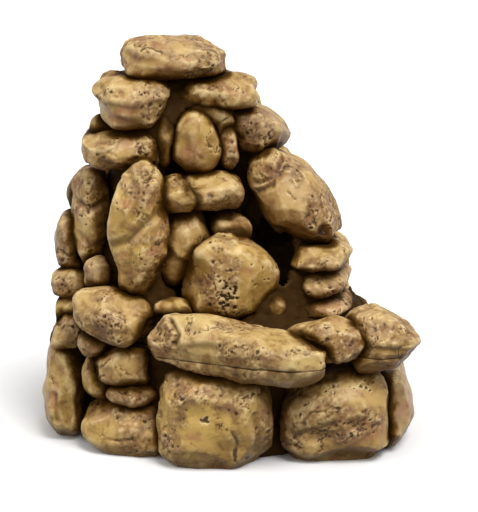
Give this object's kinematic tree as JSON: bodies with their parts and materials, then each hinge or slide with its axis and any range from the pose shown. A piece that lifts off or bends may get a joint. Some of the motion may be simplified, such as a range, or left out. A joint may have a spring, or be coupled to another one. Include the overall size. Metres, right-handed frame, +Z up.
{
  "type": "resin cave ornament",
  "caption": "Mountain of stacked weathered stones with a deep niche in front; the hollow top lifts off its base ring to open the cave.",
  "frame": {"origin": "centre of the bounding box, at the height of the underside the ornament rests on", "axes": "+Z up, -Y towards the viewer of the front with the niche, +X to that viewer's right"},
  "size_m": [0.2034, 0.181, 0.2197],
  "materials": {
    "ochre_paint": "satin ochre paint with dark wash",
    "tan_paint": "satin tan paint with dark wash",
    "beige_paint": "satin beige dry-brushed paint",
    "pink_paint": "satin pinkish tan paint",
    "grey_paint": "satin grey-brown paint",
    "dark_wash": "dull dark brown paint"
  },
  "bodies": {
    "base": {"base_shell": "dark_wash", "corner_stone_bottom": "tan_paint", "long_stone_bottom": "beige_paint", "left_post_stone": "ochre_paint", "clam_upper": "tan_paint", "clam_lower": "ochre_paint", "slice_stone": "grey_paint", "front_block": "ochre_paint", "right_front_block": "tan_paint", "base_left_stone": "ochre_paint", "far_right_stone": "grey_paint", "base_back_far_right": "tan_paint", "base_back_right": "ochre_paint", "base_back_left": "tan_paint", "base_back_far_left": "ochre_paint"},
    "cave_top": {"cave_shell": "dark_wash", "corner_stone_top": "tan_paint", "long_stone_top": "beige_paint", "beak_stone": "tan_paint", "pink_pebble": "pink_paint", "flank_wedge_stone": "tan_paint", "middle_rim_stone": "tan_paint", "egg_stone": "ochre_paint", "chip_stone": "pink_paint", "egg_back_stone": "grey_paint", "platform_stone": "beige_paint", "niche_wedge_small": "ochre_paint", "niche_wedge_large": "tan_paint", "step_stone": "beige_paint", "centre_stone": "ochre_paint", "centre_foot_stone": "tan_paint", "niche_pebble": "ochre_paint", "leaf_stone": "ochre_paint", "nub_stone": "grey_paint", "flank_tall_stone": "ochre_paint", "flank_upper_back": "grey_paint", "flank_mid_stone": "grey_paint", "flank_small_stone": "tan_paint", "flank_low_stone": "ochre_paint", "sliver_stone": "tan_paint", "right_tall_stone": "tan_paint", "disc_upper": "beige_paint", "disc_middle": "tan_paint", "disc_lower": "pink_paint", "disc_foot_stone": "grey_paint", "cap_stone": "tan_paint", "cap_shim_stone": "grey_paint", "left_block_stone": "beige_paint", "crown_stone": "tan_paint", "left_pebble": "ochre_paint", "left_slab_stone": "tan_paint", "right_shoulder_stone": "grey_paint", "back_low_right": "tan_paint", "back_low_middle": "ochre_paint", "back_low_left": "tan_paint", "back_mid_right": "ochre_paint", "back_mid_middle": "grey_paint", "back_mid_left": "ochre_paint", "back_high_right": "ochre_paint", "back_high_left": "tan_paint"}
  },
  "joints": [
    {"name": "top_lift", "type": "slide", "parent": "base", "child": "cave_top", "axis": [0, 0, 1], "range_m": [0, 0.1]}
  ]
}
